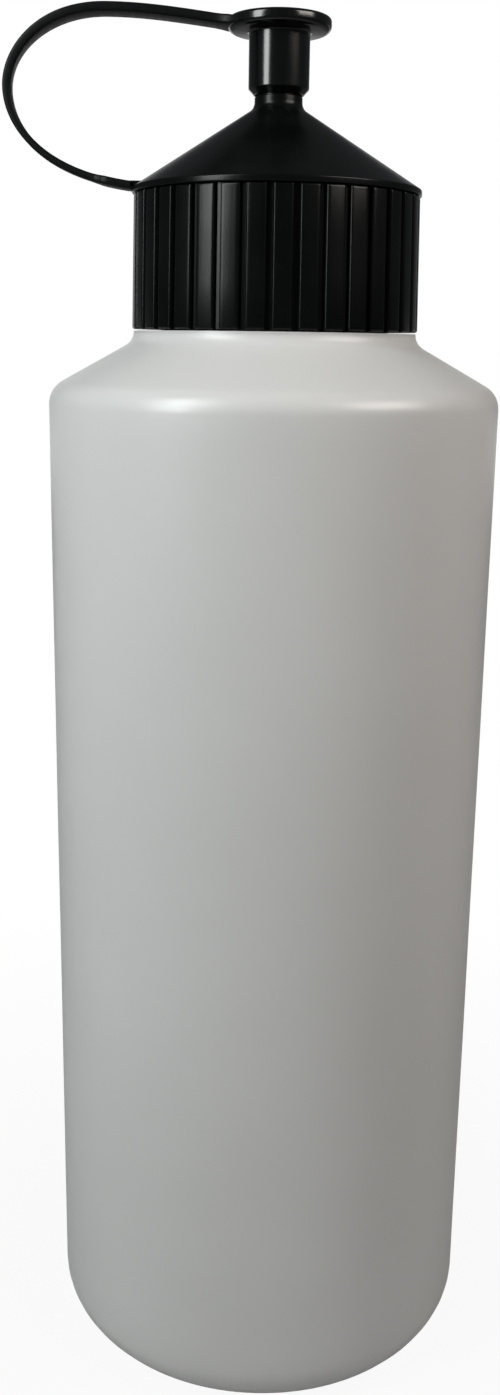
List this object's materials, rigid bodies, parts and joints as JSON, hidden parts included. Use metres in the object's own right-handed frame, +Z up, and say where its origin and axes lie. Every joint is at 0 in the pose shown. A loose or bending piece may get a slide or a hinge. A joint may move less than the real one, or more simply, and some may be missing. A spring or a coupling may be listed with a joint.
{
  "type": "squeeze bottle with spout cap",
  "caption": "Round squeeze bottle with a ribbed screw cap, a straight spout and a flanged tip cap held by a loop strap.",
  "frame": {"origin": "on the bottle's axis, in the plane that the bottle stands on", "axes": "+Z up along the bottle's axis, out of the spout; the strap's loop lies towards -X"},
  "size_m": [0.0934, 0.086, 0.2654],
  "materials": {
    "bottle_plastic": "satin",
    "seal_foam": "matt",
    "cap_plastic": "satin",
    "strap_plastic": "satin",
    "tip_plastic": "gloss"
  },
  "bodies": {
    "bottle": {"bottle": "bottle_plastic"},
    "seal": {"seal_ring": "seal_foam"},
    "cap": {"screw_cap": "cap_plastic", "tether_strap": "strap_plastic"},
    "tip": {"tip_cap": "tip_plastic"}
  },
  "joints": [
    {"name": "cap_rise", "type": "slide", "parent": "bottle", "child": "seal", "axis": [0, 0, 1], "range_m": [0, 0.02401]},
    {"name": "cap_turn", "type": "hinge", "parent": "seal", "child": "cap", "pos_m": [0, 0, 0], "axis": [0, 0, 1], "range_deg": [0, 2160]},
    {"name": "tip_cap_pull", "type": "slide", "parent": "cap", "child": "tip", "axis": [0, 0, 1], "range_m": [0, 0.016]}
  ],
  "couplings": [
    {"joint": "cap_rise", "follows": "cap_turn", "m_per_rad": 0.00063662}
  ]
}
